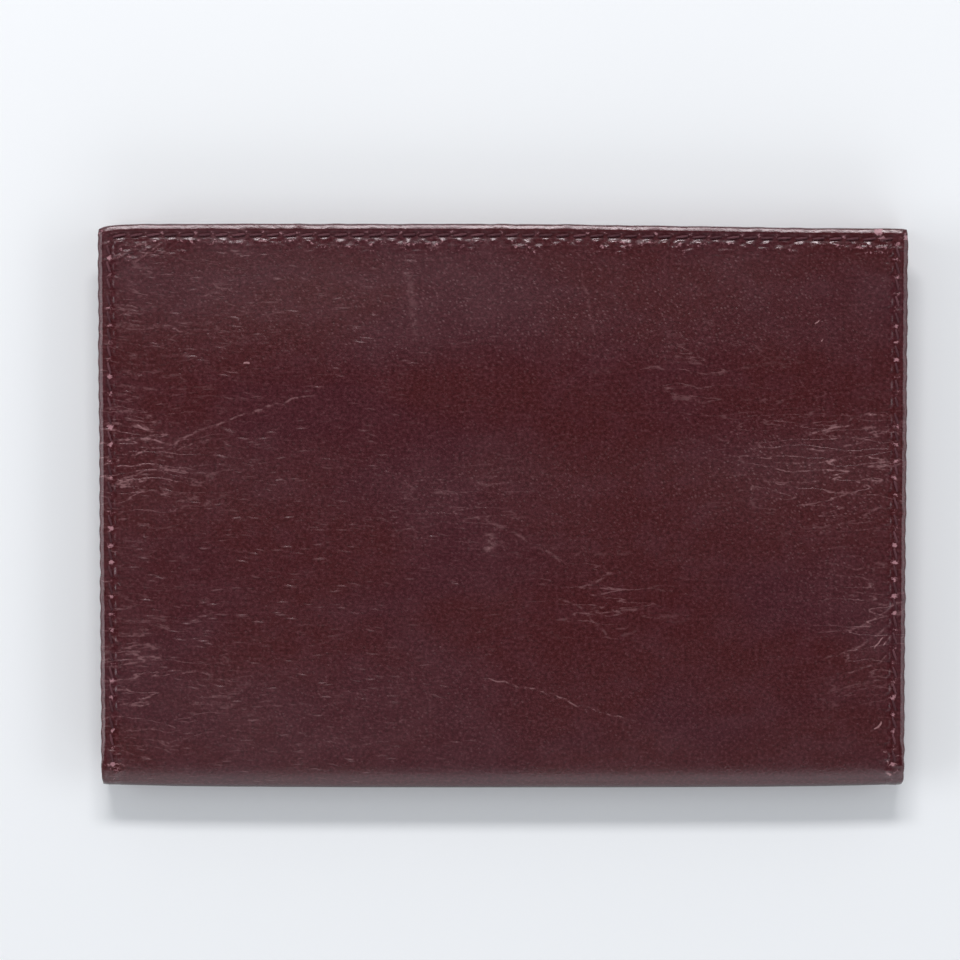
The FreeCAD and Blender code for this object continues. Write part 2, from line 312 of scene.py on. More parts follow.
def spaced(low, high, step, fine, margin):
    """Numbers from low to high, step apart, and fine apart within the margin of either end."""
    edge = max(2, int(round(margin / fine)))
    middle = max(2, int(round((high - low - 2 * margin) / step)))
    return np.concatenate(
        [
            np.linspace(low, low + margin, edge + 1)[:-1],
            np.linspace(low + margin, high - margin, middle + 1)[:-1],
            np.linspace(high - margin, high, edge + 1),
        ]
    )


def round_corners(x, y, x_edge, y_edge, radius):
    """Moves grid points so that the two corners at (+-x_edge, y_edge) become round."""
    cx = np.abs(x) - (x_edge - radius)
    cy = y - (y_edge - radius)
    inside = (cx > 0) & (cy > 0)
    longest = np.maximum(cx, cy)
    length = np.where(inside, np.hypot(cx, cy), 1.0)
    share = np.where(inside, longest / length, 1.0)
    new_x = np.where(inside, np.sign(x) * (x_edge - radius + cx * share), x)
    new_y = np.where(inside, y_edge - radius + cy * share, y)
    return new_x, new_y


class Shell:
    """A mesh in flat coordinates under construction, with one more value or row for each point."""

    def __init__(self):
        self.points = []
        self.values = []
        self.faces = []
        self.total = 0

    def add(self, x, s, n, values):
        """Adds points, and gives back their numbers."""
        first = self.total
        self.points.append(np.column_stack([x, s, n]))
        self.values.append(values)
        self.total += len(x)
        return list(range(first, self.total))

    def grid(self, x, s, n, values, flip=False):
        """Adds a grid of points and its faces."""
        self.faces.extend(grid_faces(*x.shape, start=self.total, flip=flip))
        return self.add(x.ravel(), s.ravel(), n.ravel(), values)

    def joined(self):
        """All x, s and n, and all values."""
        return (*np.concatenate(self.points).T, np.concatenate(self.values))


# ---- The cover seam and the relief of the cover leather


def seam_runs():
    """The U of the cover seam in (x, s): three runs, each (start, direction, length)."""
    x = X_EDGE - SEAM_INSET
    low = s_of(Y_SPINE + SEAM_END)
    high = S_EDGE - SEAM_INSET
    return [
        ((-x, low), (0.0, 1.0), high - low),
        ((-x, high), (1.0, 0.0), 2 * x),
        ((x, high), (0.0, -1.0), high - low),
    ]


def stitch_centres(run):
    """The centres of a run's stitches: an array of (x, s)."""
    start, direction, length = run
    count = int(length / PITCH)
    along = (length - count * PITCH) / 2 + (np.arange(count) + 0.5) * PITCH
    return np.array(start) + along[:, None] * np.array(direction)


def hole_phase(distance, length):
    """Counts stitches along a run: a whole number at each needle hole."""
    margin = (length - int(length / PITCH) * PITCH) / 2
    return (distance - margin) / PITCH


def inward_of_seam(x, s):
    """How far points lie inwards of the stitch line."""
    return np.minimum(X_EDGE - np.abs(x), S_EDGE - s) - SEAM_INSET


def seam_place(x, s):
    """How far points lie inwards of the stitch line, and how near they are to a needle hole (0 to 1)."""
    runs = seam_runs()
    side, top = X_EDGE - np.abs(x), S_EDGE - s
    phase = np.where(
        side < top,
        hole_phase(s - runs[0][0][1], runs[0][2]),
        hole_phase(x + X_EDGE - SEAM_INSET, runs[1][2]),
    )
    return inward_of_seam(x, s), 0.5 + 0.5 * np.cos(2 * math.pi * phase)


def seam_relief(x, s, seed):
    """The sunk stitch line and the leather that puckers along it: between the needle holes it swells
    up close beside the line, and at each hole it is drawn down further in."""
    inward, at_hole = seam_place(x, s)
    uneven = 1 + 0.24 * noise(x / 3.1, s / 3.1, seed + 1)
    drawn = smooth(0.25, 0.80, at_hole + 0.25 * noise(x / 1.7, s / 1.7, seed + 2))
    swollen = 0.31 * uneven * np.clip((inward - 0.42) / 0.72, 0, 1) - 0.20
    swollen = swollen * (1 - smooth(1.2, 3.2, inward))
    inside = swollen * (1 - drawn) - 0.36 * bump(inward, 1.25) * drawn
    outside = -0.20 - 0.16 * drawn
    depth = np.where(inward < 0, outside * bump(inward, 0.80), inside)
    side_share = 0.28 + 0.72 * smooth(1.5, 3.5, X_EDGE - np.abs(x))
    low = seam_runs()[0][0][1]
    return smooth(low - 1.6, low + 0.4, s) * side_share * depth


def gathered(x, s):
    """How strongly the seam gathers up the leather beside the fore edge, most at the low x corner."""
    right, down = x + X_EDGE - SEAM_INSET, S_EDGE - SEAM_INSET - s
    beside = smooth(3.6, 1.4, down + 1.1 * noise(x / 3.0, s / 3.0, 48))
    corner = smooth(6.5, 3.0, down) * bump(right - 5.0, 6.0)
    ends = smooth(1.0, 3.0, X_EDGE - np.abs(x))
    return ends * smooth(0.4, 1.2, down) * np.maximum(beside, corner)


def beading(x, s):
    """The fine beads of the gathered leather, from -1 to 1."""
    return noise(x / 0.9, s / 0.48, 22)


def fine_puckers(x, s):
    """Beaded wrinkles that trail inwards from the fore edge's seam, in slanting rows, one to a stitch."""
    across = x * math.sin(PUCKER_LEAN) - s * math.cos(PUCKER_LEAN) + 0.3 * noise(x / 2.5, s / 2.5, 21)
    rows = (0.5 + 0.5 * np.cos(2 * math.pi * across / (PITCH * math.sin(PUCKER_LEAN)))) ** 2
    return gathered(x, s) * (0.05 * rows + 0.24 * (0.35 + 0.65 * rows) * beading(x, s))


def side_pull(x, s, seed):
    """Short creases that run inwards from the side seams, about one to a stitch."""
    side = X_EDGE - np.abs(x) - SEAM_INSET
    bent = s + 0.5 * noise(x / 6.0, s / 5.0, seed) + 0.04 * side * noise(s / 9.0, x * 0, seed + 2)
    waves = (0.5 + 0.5 * np.cos(2 * math.pi * bent / PITCH)) ** 7
    fade = smooth(-1.6, -0.6, side) * np.exp(-np.clip(side, 0, None) / 2.6)
    patchy = smooth(-0.6, 0.5, noise(x / 3.0, s / 2.5, seed + 4))
    return 0.16 * waves * fade * patchy


def mark_span(first, last):
    """The start of a mark, as (x, s), and the way from there to its end."""
    start = np.array([first[0], s_of(first[1])])
    return start, np.array([last[0], s_of(last[1])]) - start


def mark_relief(x, s, marks):
    """Creases pressed into the leather, each with a raised lip."""
    height = np.zeros_like(x)
    for first, last, bow, width, depth, _ in marks:
        start, run = mark_span(first, last)
        length = np.hypot(*run)
        along = ((x - start[0]) * run[0] + (s - start[1]) * run[1]) / length**2
        across = (-(x - start[0]) * run[1] + (s - start[1]) * run[0]) / length
        off = across - 4 * bow * along * (1 - along) + 0.35 * noise(x / 2.2, s / 2.2, 18)
        ends = smooth(0.0, 0.2, along) * smooth(0.0, 0.2, 1 - along)
        height += depth * ends * (0.7 * bump(off - 1.3 * width, width) - bump(off, width))
    return height * (0.8 + 0.5 * noise(x / 1.1, s / 1.1, 19))


def swell(x, s):
    """The broad rise and fall of the front cover, which bands its sheen from edge to spine."""
    y = y_of(s) + 2.5 * noise(x / 30.0 + 5.3, s / 40.0, 15)
    band = 0.34 * bump(y - 22.0, 11.0) + 0.16 * bump(y + 2.0, 9.0) + 0.20 * bump(y + 30.0, 13.0)
    return band * (0.8 + 0.35 * noise(x / 38.0, s / 60.0, 16))


def cover_relief(x, s, front):
    """How far the cover's outer face stands proud of the CAD's, in millimetres."""
    side = 1.0 if front else -1.0
    seed = 40 if front else 60
    inward = inward_of_seam(x, s)
    flat_part = smooth(0.0, 14.0, inward)
    fold = smooth(ARC * 0.4, ARC + 5.0, s)
    waves = 0.12 * noise(x / 30.0 + 3.1, side * s / 16.0, 11) + 0.05 * noise(x / 11.0, side * s / 6.0, 12)
    height = flat_part * (0.16 + waves * fold) + 0.010 * noise(x / 2.6, side * s / 1.7, 13) * flat_part
    height += seam_relief(x, s, seed) + side_pull(x, s, seed + 5)
    height += mark_relief(x, s, FRONT_MARKS if front else BACK_MARKS)
    if front:
        return height + fine_puckers(x, s) + swell(x, s) * flat_part * fold
    return np.minimum(height, 0.02)


def random_marks(count, seed):
    """Creases for the back cover, scattered with the same lie as on the front."""
    rng = np.random.RandomState(seed)
    marks = []
    for _ in range(count):
        x, y = rng.uniform(-66, 58), rng.uniform(-38, 42)
        length, tilt = rng.uniform(5, 13), rng.uniform(-0.35, 0.35)
        end = (x + length * math.cos(tilt), y + length * math.sin(tilt))
        marks.append(((x, y), end, rng.uniform(-0.8, 0.8), 0.38, 0.045, rng.uniform(0.15, 0.35)))
    return marks


BACK_MARKS = random_marks(BACK_MARK_COUNT, 5)


# ---- Materials

# Colours, in linear light.
OXBLOOD = (0.060, 0.0102, 0.0116, 1)
PLUM = (0.056, 0.0100, 0.0146, 1)
CLOUDED = (0.070, 0.0140, 0.0195, 1)
DARK_SPECK = (0.027, 0.0042, 0.0052, 1)
PALE_SPECK = (0.105, 0.0300, 0.0370, 1)
# Pale for scuffs and worn marks, also used for painted highlights along wrinkles and creases.
SCUFF_AND_HIGHLIGHT_PALE = (0.32, 0.165, 0.175, 1)
# Pale where the finish is bared, also used for painted glints at the needle holes and on the gathered
# beads.
BARED_AND_GLINT_PALE = (0.36, 0.175, 0.20, 1)
# Painted shadow, darkening the middle of the spine's fold.
SPINE_PAINTED_SHADOW = (0.018, 0.0050, 0.0065, 1)
PLUM_SHEEN = (1.0, 0.90, 0.945, 1)
POCKET_DARK, POCKET_PALE = (0.060, 0.0105, 0.0125, 1), (0.078, 0.0165, 0.0205, 1)
POCKET_WORN = (0.20, 0.075, 0.08, 1)
TWILL_DARK, TWILL_PALE = (0.028, 0.006, 0.009, 1), (0.085, 0.020, 0.028, 1)
TWILL_SHEEN = (0.75, 0.45, 0.5, 1)
THREAD_DARK, THREAD_PALE = (0.060, 0.016, 0.022, 1), (0.108, 0.036, 0.046, 1)
FILM_TINT = (0.93, 0.94, 0.95, 1)
BOARD_DARK, BOARD_PALE = (0.17, 0.13, 0.10, 1), (0.30, 0.25, 0.20, 1)
BOARD_FLECK = (0.08, 0.06, 0.05, 1)
FLOOR_DARK, FLOOR_PALE = (0.90, 0.92, 0.95, 1), (0.93, 0.945, 0.965, 1)
ROOM_BLUE = (0.94, 0.97, 1.0, 1)


class Graph:
    """Makes the nodes of a material and joins them."""

    def __init__(self, tree, material=None, dimensions="2D"):
        self.tree = tree
        self.material = material
        self.dimensions = dimensions

    def node(self, kind, inputs=None, **settings):
        """A new node. Sockets among its inputs are linked, and the rest are set."""
        node = self.tree.nodes.new(kind)
        for key, value in settings.items():
            setattr(node, key, value)
        for key, value in (inputs or {}).items():
            if isinstance(value, bpy.types.NodeSocket):
                self.tree.links.new(value, node.inputs[key])
            else:
                node.inputs[key].default_value = value
        return node

    def math(self, operation, a, b=0.0, c=0.0):
        return self.node("ShaderNodeMath", {0: a, 1: b, 2: c}, operation=operation).outputs[0]

    def times(self, a, b):
        return self.math("MULTIPLY", a, b)

    def mul_add(self, a, b, c):
        """a times b, plus c."""
        return self.math("MULTIPLY_ADD", a, b, c)

    def vector(self, operation, a, b=(0, 0, 0)):
        node = self.node("ShaderNodeVectorMath", {0: a, 1: b}, operation=operation)
        return node.outputs["Value" if operation == "DOT_PRODUCT" else "Vector"]

    def ramp(self, value, low, high, to_low=0.0, to_high=1.0):
        inputs = {"Value": value, "From Min": low, "From Max": high, "To Min": to_low, "To Max": to_high}
        return self.node("ShaderNodeMapRange", inputs, interpolation_type="SMOOTHSTEP").outputs["Result"]

    def noise(self, vector, stretch, detail=2.0, roughness=0.5, distortion=0.0):
        """Noise with about one wave to each unit of the stretched vector."""
        inputs = {
            "Vector": self.stretched(vector, *stretch),
            "Scale": 1.0,
            "Detail": detail,
            "Roughness": roughness,
            "Distortion": distortion,
        }
        return self.node("ShaderNodeTexNoise", inputs, noise_dimensions=self.dimensions).outputs[0]

    def wander(self, vector, scale, reach):
        """A smooth random offset."""
        inputs = {"Vector": vector, "Scale": scale, "Detail": 1.0}
        colour = self.node("ShaderNodeTexNoise", inputs, noise_dimensions="2D").outputs["Color"]
        return self.vector("MULTIPLY", self.vector("SUBTRACT", colour, (0.5, 0.5, 0.5)), (reach,) * 3)

    def spots(self, vector, radius, share):
        """Separate soft spots, of uneven strength, on about the given share of the cells."""
        inputs = {"Vector": vector, "Scale": 1.0}
        cell = self.node("ShaderNodeTexVoronoi", inputs, voronoi_dimensions="2D").outputs
        chance = self.split(cell["Color"])[0]
        strength = self.ramp(chance, 1.0 - share, 1.0 + 0.2 * share, 0.12, 1.0)
        return self.times(self.ramp(cell["Distance"], 0.0, radius, 1.0, 0.0), strength)

    def mix(self, factor, a, b):
        return self.node("ShaderNodeMix", {0: factor, 6: a, 7: b}, data_type="RGBA").outputs[2]

    def split(self, vector):
        """The x, y and z of a vector."""
        return self.node("ShaderNodeSeparateXYZ", {0: vector}).outputs

    def attribute(self, name, output="Vector"):
        return self.node("ShaderNodeAttribute", attribute_name=name).outputs[output]

    def stretched(self, vector, x, y, z=1.0):
        return self.vector("MULTIPLY", vector, (x, y, z))

    def skewed(self, vector, x, y, skew):
        """Stretched, with each row pushed along so that cells don't stack up in columns."""
        along = self.vector("DOT_PRODUCT", vector, (x, skew, 0.0))
        across = self.vector("DOT_PRODUCT", vector, (0.0, y, 0.0))
        return self.node("ShaderNodeCombineXYZ", {0: along, 1: across}).outputs[0]

    def bump(self, height, distance, strength=1.0):
        inputs = {"Height": height, "Distance": distance * MM, "Strength": strength}
        return self.node("ShaderNodeBump", inputs).outputs[0]

    def finish(self, shader):
        self.node("ShaderNodeOutputMaterial", {0: shader})
        return self.material

    def principled(self, **inputs):
        named = {key.replace("_", " "): value for key, value in inputs.items()}
        return self.finish(self.node("ShaderNodeBsdfPrincipled", named).outputs[0])


def new_material(name, dimensions="2D"):
    """The graph of a new, empty material."""
    material = bpy.data.materials.new(name)
    material.use_nodes = True
    material.node_tree.nodes.clear()
    return Graph(material.node_tree, material, dimensions)


def mark_group():
    """A node group: how strongly a point of the skin lies on one bowed mark."""
    tree = bpy.data.node_groups.new("mark", "ShaderNodeTree")
    for name in ("Flat", "Start", "Along", "Across"):
        tree.interface.new_socket(name, in_out="INPUT", socket_type="NodeSocketVector")
    for name in ("Bow", "Width"):
        tree.interface.new_socket(name, in_out="INPUT", socket_type="NodeSocketFloat")
    tree.interface.new_socket("Mark", in_out="OUTPUT", socket_type="NodeSocketFloat")
    g = Graph(tree)
    given = g.node("NodeGroupInput").outputs
    offset = g.vector("SUBTRACT", given["Flat"], given["Start"])
    along = g.vector("DOT_PRODUCT", offset, given["Along"])
    across = g.vector("DOT_PRODUCT", offset, given["Across"])
    arc = g.times(g.times(along, g.math("SUBTRACT", 1.0, along)), 4.0)
    off = g.math("ABSOLUTE", g.math("SUBTRACT", across, g.times(arc, given["Bow"])))
    line = g.ramp(off, 0.0, given["Width"], 1.0, 0.0)
    ends = g.ramp(arc, 0.0, 0.45)
    g.node("NodeGroupOutput", {0: g.times(line, ends)})
    return tree


def front_marks(g, flat, group):
    """The marks of the front cover together, each as pale as it is painted: worn pale on scuffs, painted
    highlight along creases.
    """
    total = 0.0
    for first, last, bow, width, _, pale in FRONT_MARKS:
        start, run = mark_span(first, last)
        length = np.hypot(*run)
        unit = run / length
        inputs = {
            "Flat": flat,
            "Start": (*start, 0.0),
            "Along": (*(unit / length), 0.0),
            "Across": (-unit[1], unit[0], 0.0),
            "Bow": bow,
            "Width": width * 0.8,
        }
        mark = g.node("ShaderNodeGroup", inputs, node_tree=group)
        total = g.mul_add(mark.outputs[0], pale, total)
    return total


def leather_grain(g, flat):
    """The fine texture of the cover: clouds, specks, pores, and short wrinkles over the low x side."""
    drift = g.wander(flat, 0.07, 2.6)
    bent = g.vector("ADD", g.vector("ADD", flat, drift), g.wander(flat, 0.8, 0.36))
    cloud = g.noise(flat, (0.16, 0.22), 5.0, 0.62)
    speck = g.noise(flat, (1.5, 1.8), 3.0, 0.72)
    dash = g.spots(g.skewed(bent, 0.30, 2.1, 0.77), 0.44, 0.34)
    pore = g.spots(g.skewed(bent, 1.45, 1.8, 0.6), 0.46, 0.42)
    wrinkled = g.ramp(g.mul_add(cloud, 60.0, g.split(flat)[0]), -15.0, 50.0, 1.0, 0.08)
    clumps = g.ramp(g.noise(flat, (0.22, 0.50), 2.0, 0.5), 0.38, 0.60, 0.12, 1.15)
    ridge = g.times(g.times(dash, clumps), wrinkled)
    fold = g.noise(bent, (0.06, 0.40), 2.0, 0.45)
    fold = g.ramp(g.math("ABSOLUTE", g.math("SUBTRACT", fold, 0.5)), 0.0, 0.030, 1.0, 0.0)
    fold = g.times(fold, g.attribute("creased", "Fac"))
    return cloud, speck, pore, ridge, fold


def leather_tone(g, flat, broad, cloud, speck, pore, ridge, fold):
    """The cover's colour: deep oxblood, pale pores, worn scuffs, painted highlights along wrinkles and
    creases, and painted shadow at the spine's middle.
    """
    broken = g.ramp(g.noise(flat, (0.45, 0.9), 3.0, 0.7), 0.42, 0.60, 0.08, 1.0)
    marks = front_marks(g, g.vector("ADD", flat, g.wander(flat, 0.35, 1.0)), mark_group())
    line = g.times(g.mul_add(fold, 0.50, marks), broken)
    tone = g.mix(g.ramp(broad, 0.35, 0.68), OXBLOOD, PLUM)
    tone = g.mix(g.times(g.ramp(cloud, 0.42, 0.72), 0.5), tone, CLOUDED)
    tone = g.mix(g.ramp(speck, 0.30, 0.52, 0.64, 0.0), tone, DARK_SPECK)
    tone = g.mix(g.ramp(speck, 0.50, 0.72, 0.0, 0.64), tone, PALE_SPECK)
    speckled = g.mul_add(g.attribute("speckled", "Fac"), 0.30, 0.04)
    # Painted highlights: the short wrinkle dashes (ridge) and the crease and mark lines (line) are made
    # paler where they would catch the light, partly as worn tops; the pores and the scuffs among the marks
    # are their own worn pale.
    pale = g.mul_add(ridge, 0.34, g.times(pore, speckled))
    pale = g.mul_add(line, 1.35, pale)
    tone = g.mix(g.math("MINIMUM", pale, 1.0), tone, SCUFF_AND_HIGHLIGHT_PALE)
    # Painted shadow: the colour darkens towards the middle of the spine, where the fold would lie in
    # shade.
    spine_shadow_distance = g.math("ABSOLUTE", g.split(flat)[1])
    return g.mix(g.ramp(spine_shadow_distance, 1.2, 2.8, 0.8, 0.0), tone, SPINE_PAINTED_SHADOW)


def cover_leather():
    """Semi-gloss oxblood leather: pores, short wrinkles on one side, haze, scuffs, worn edges, painted
    highlights and a painted spine shadow.
    """
    g = new_material("cover_leather")
    flat = g.attribute("flat")
    haze = g.attribute("haze", "Fac")
    broad = g.noise(flat, (0.026, 0.05), 2.0, 0.5, 0.4)
    cloud, speck, pore, ridge, fold = leather_grain(g, flat)
    tone = leather_tone(g, flat, broad, cloud, speck, pore, ridge, fold)
    # rubbed carries real wear and painted glints; worn turns both to the bared pale tone.
    patchy = g.mul_add(g.math("SUBTRACT", speck, 0.5), 1.6, g.attribute("rubbed", "Fac"))
    worn = g.ramp(patchy, 0.40, 0.75)
    tone = g.mix(worn, tone, BARED_AND_GLINT_PALE)

    gloss = g.mul_add(haze, 0.13, g.ramp(broad, 0.3, 0.7, 0.31, 0.355))
    gloss = g.mul_add(g.ramp(cloud, 0.35, 0.7), 0.05, gloss)
    gloss = g.mul_add(worn, 0.20, gloss)

    grain = g.mul_add(ridge, 1.1, g.times(speck, 1.2))
    grain = g.mul_add(pore, 0.8, grain)
    grain = g.mul_add(fold, 0.6, grain)
    normal = g.bump(grain, 0.045, g.ramp(haze, -0.9, 0.0, 0.35, 1.0))
    return g.principled(Base_Color=tone, Roughness=gloss, Normal=normal, Specular_Tint=PLUM_SHEEN)


def pocket_leather():
    """Thinner leather, kept out of the light and little worn."""
    g = new_material("pocket_leather")
    flat = g.attribute("flat")
    cloud = g.noise(flat, (0.12, 0.12), 4.0, 0.6)
    pebble = g.spots(g.stretched(flat, 2.1, 2.1), 0.5, 0.8)
    speck = g.noise(flat, (1.5, 1.5), 4.0, 0.65)
    tone = g.mix(g.ramp(cloud, 0.3, 0.7), POCKET_DARK, POCKET_PALE)
    edge = g.times(g.attribute("rubbed", "Fac"), g.ramp(speck, 0.35, 0.65))
    tone = g.mix(g.times(edge, 0.5), tone, POCKET_WORN)
    gloss = g.ramp(cloud, 0.3, 0.7, 0.44, 0.47)
    normal = g.bump(g.mul_add(speck, 0.7, pebble), 0.035)
    return g.principled(Base_Color=tone, Roughness=gloss, Normal=normal, Specular_IOR_Level=0.5)


def lining_cloth():
    """Fine burgundy twill."""
    g = new_material("lining_cloth")
    flat = g.attribute("flat")
    parts = g.split(flat)
    diagonal = g.math("ADD", parts[0], parts[1])
    rib = g.math("SINE", g.times(diagonal, 2 * math.pi / 0.55))
    yarn = g.math("SINE", g.times(parts[0], 2 * math.pi / 0.30))
    weave = g.mul_add(g.times(rib, yarn), 0.3, g.times(rib, 0.5))
    slub = g.noise(flat, (0.15, 2.0), 3.0)
    shade = g.mul_add(weave, 0.25, slub)
    tone = g.mix(g.ramp(shade, 0.1, 0.9), TWILL_DARK, TWILL_PALE)
    sheen = {"Sheen_Weight": 0.35, "Sheen_Roughness": 0.4, "Sheen_Tint": TWILL_SHEEN}
    return g.principled(Base_Color=tone, Roughness=0.62, Normal=g.bump(weave, 0.05), **sheen)


def sewing_thread():
    """Bonded two-ply thread, with a tone of its own for each stitch."""
    g = new_material("sewing_thread", "3D")
    flat = g.attribute("flat")
    tone_of = g.attribute("tone", "Fac")
    fibre = g.noise(flat, (6.0, 6.0, 6.0), 3.0, 0.6)
    shade = g.mul_add(fibre, 0.5, g.times(tone_of, 0.7))
    tone = g.mix(g.ramp(shade, 0.2, 0.95), THREAD_DARK, THREAD_PALE)
    normal = g.bump(fibre, 0.03)
    return g.principled(Base_Color=tone, Roughness=0.65, Normal=normal, Specular_IOR_Level=0.25)


def clear_film():
    """Clear soft film that shows what lies under it, with a gloss of its own."""
    g = new_material("clear_film")
    flat = g.attribute("flat")
    ripple = g.noise(flat, (0.10, 0.06), 3.0)
    scratch = g.noise(flat, (0.4, 9.0), 2.0)
    normal = g.bump(ripple, 0.5)
    haze = g.ramp(scratch, 0.60, 0.78, 0.0, 0.05)
    gloss = g.node("ShaderNodeBsdfGlossy", {"Color": (1, 1, 1, 1), "Roughness": 0.16, "Normal": normal})
    clear = g.node("ShaderNodeBsdfTransparent", {"Color": FILM_TINT})
    facing = g.node("ShaderNodeLayerWeight", {"Blend": 0.22, "Normal": normal}).outputs["Fresnel"]
    share = g.math("ADD", g.mul_add(facing, 0.35, 0.02), haze)
    mixed = g.node("ShaderNodeMixShader", {0: share, 1: clear.outputs[0], 2: gloss.outputs[0]})
    return g.finish(mixed.outputs[0])


def stiffener_board():
    """Grey-brown board with flecks of fibre."""
    g = new_material("stiffener_board", "3D")
    place_of = g.node("ShaderNodeTexCoord").outputs["Object"]
    fibre = g.noise(place_of, (900.0, 2400.0, 900.0), 4.0, 0.7)
    fleck = g.noise(place_of, (420.0, 420.0, 420.0), 2.0)
    tone = g.mix(g.ramp(fibre, 0.3, 0.7), BOARD_DARK, BOARD_PALE)
    tone = g.mix(g.ramp(fleck, 0.66, 0.72, 0.0, 0.6), tone, BOARD_FLECK)
    return g.principled(Base_Color=tone, Roughness=0.9, Normal=g.bump(fibre, 0.05))


def pale_floor():
    """Plain matt floor, with the faintest of clouds."""
    g = new_material("pale_floor")
    place_of = g.node("ShaderNodeTexCoord").outputs["Object"]
    cloud = g.noise(place_of, (6.0, 6.0, 6.0), 4.0, 0.6)
    tone = g.mix(cloud, FLOOR_DARK, FLOOR_PALE)
    return g.principled(Base_Color=tone, Roughness=0.75, Specular_IOR_Level=0.2)


# ---- The cover: one skin in two halves that meet along the middle of the spine


def rim_loops(sharp, uneven):
    """The turned edge, from the outer face to under the lining: (distance outwards, depth) for each
    loop of points. sharp is 1 where the edge rolls over softly and less where it is squarer, and
    uneven is its height from place to place."""
    share = np.linspace(0.0, 1.0, 121)
    slope = np.radians(np.interp(share, ROLL_SHARE, ROLL_SLOPE))
    out, down = np.cumsum(np.cos(slope)), np.cumsum(np.sin(slope))
    drop = EDGE_ROUND * down[-1] / out[-1]
    outer = []
    for at in (10, 20, 30, 40, 50, 60, 70, 84, 102, 120):
        o, d = out[at] / out[-1], down[at] / down[-1]
        outer.append((EDGE_ROUND * o**sharp, drop * (1 - (1 - d) ** sharp) * uneven))
    middle = [(outer[-1][0] + 0.04, np.full_like(sharp, HEM_TOP / 2))]
    inner = [(o, HEM_TOP - d) for o, d in outer[::-1]]
    return outer + middle + inner + [(np.zeros_like(sharp), np.full_like(sharp, HEM_TOP))]


def boundary(rows, columns):
    """Point numbers round the left side, the fore edge and the right side of a grid."""
    index = np.arange(rows * columns).reshape(rows, columns)
    return np.concatenate([index[:, 0], index[-1, 1:-1], index[::-1, -1]])


def outward(points):
    """Vectors that point out of an open line of points that runs clockwise, ends square. They are
    one unit long, and nearly mitred at the corners."""
    ahead = np.gradient(points, axis=0)
    normal = np.stack([-ahead[:, 1], ahead[:, 0]], axis=1)
    normal[0], normal[-1] = (-1, 0), (1, 0)
    normal /= np.linalg.norm(normal, axis=1, keepdims=True)
    return normal / np.abs(normal).max(axis=1, keepdims=True) ** 0.75


def wear_and_painted_glints(x, s, n, front):
    """How pale the finish is painted: rubbed off at the worn places of the front, and painted highlights
    on the beads that the seam gathers up and in spots at the needle holes."""
    inward, at_hole = seam_place(x, s)
    beside = X_EDGE - np.abs(x) < S_EDGE - s
    near = np.where(beside, 1.25 * bump(inward - 0.15, 0.70), bump(inward + 0.40, 0.42))
    # Painted highlights: pale spots beside each needle hole.
    spots = 0.66 * near * at_hole**4 * (0.8 + 0.5 * noise(x / 1.6, s / 1.6, 27))
    if front:
        y = y_of(s)
        for rx, ry, radius, amount in RUBBED:
            spots = np.maximum(spots, amount * bump(np.hypot(x - rx, y - ry), radius))
        # Painted highlights on the crests of the gathered beads.
        spots = np.maximum(spots, 0.48 * gathered(x, s) * smooth(-0.2, 0.6, beading(x, s)))
    return spots * (n < 1.2)


def zones(x, s, ovals, front):
    """The sum of soft ovals (x, y, half widths, amount), mirrored on the back cover."""
    y = y_of(s)
    total = np.zeros_like(x)
    for ox, oy, rx, ry, amount in ovals:
        ox = ox if front else -ox
        total = total + amount * np.exp(-(((x - ox) / rx) ** 2) - ((y - oy) / ry) ** 2)
    return total


def dulled(x, s, front):
    """Where the finish of a cover has gone hazy (up to 1.2) or been polished by handling (down to -1)."""
    cloud = 0.25 * noise(x / 14.0, s / 9.0, 33) + 0.12 * noise(x / 4.5, s / 3.0, 34)
    cloud = np.clip(cloud + zones(x, s, HAZES, front), -0.5, 1.2)
    inward = inward_of_seam(x, s)
    polished = np.maximum(smooth(-0.70, -1.05, inward), bump(inward - 0.85, 0.7))
    polished = np.maximum(polished, 0.4 * gathered(x, s))
    return cloud * (1 - polished) - polished


def edge_loops(line, out, height):
    """The cover's edge as loops of points (x, s, n, distance along the skin): over the roll, along the
    hem and down to the side that is glued to the board. line is the edge of the outer face, out
    points outwards from it, and height is its depth."""
    scallop = 0.05 * np.cos(2 * math.pi * line[:, 1] / PITCH) * (np.abs(out[:, 0]) > 0.9)
    wobble = 0.07 * noise(line[:, 0] / 2.3, line[:, 1] / 2.3, 31)
    sharp = 0.4 + 0.6 * smooth(ARC * 0.5, ARC + 2.0, line[:, 1])
    uneven = 1 + 0.13 * noise(line[:, 0] / 1.3, line[:, 1] / 1.3, 32)
    loops = []
    for offset, depth in rim_loops(sharp, uneven):
        reach = offset + (scallop + wobble) * offset / EDGE_ROUND
        place_at = line + out * reach[:, None]
        n = depth + height * np.clip(1 - depth / EDGE_ROUND, 0, None)
        loops.append((place_at[:, 0], place_at[:, 1], n, offset + depth))

    inset = HEM_WIDTH - EDGE_ROUND
    edge = np.abs(line).max(axis=0)
    under = COVER_TOP - 0.05
    for share, depth in ((0.5, HEM_TOP), (0.97, HEM_TOP), (0.995, HEM_TOP - 0.12), (1.0, under)):
        place_at = line * (1 - share * inset / edge)
        n = np.full(len(line), depth)
        along = np.full(len(line), EDGE_ROUND + HEM_TOP + share * inset)
        loops.append((place_at[:, 0], place_at[:, 1], n, along))
    return loops


def underside(loop, side):
    """Faces that close a cover between the two sides of its last loop, each of side points."""
    left, right = loop[:side], loop[-side:][::-1]
    faces = loop_faces(left, right, closed=False)[:-1]
    return faces + [[left[-2], left[-1], *loop[side:-side], right[-1], right[-2]]]


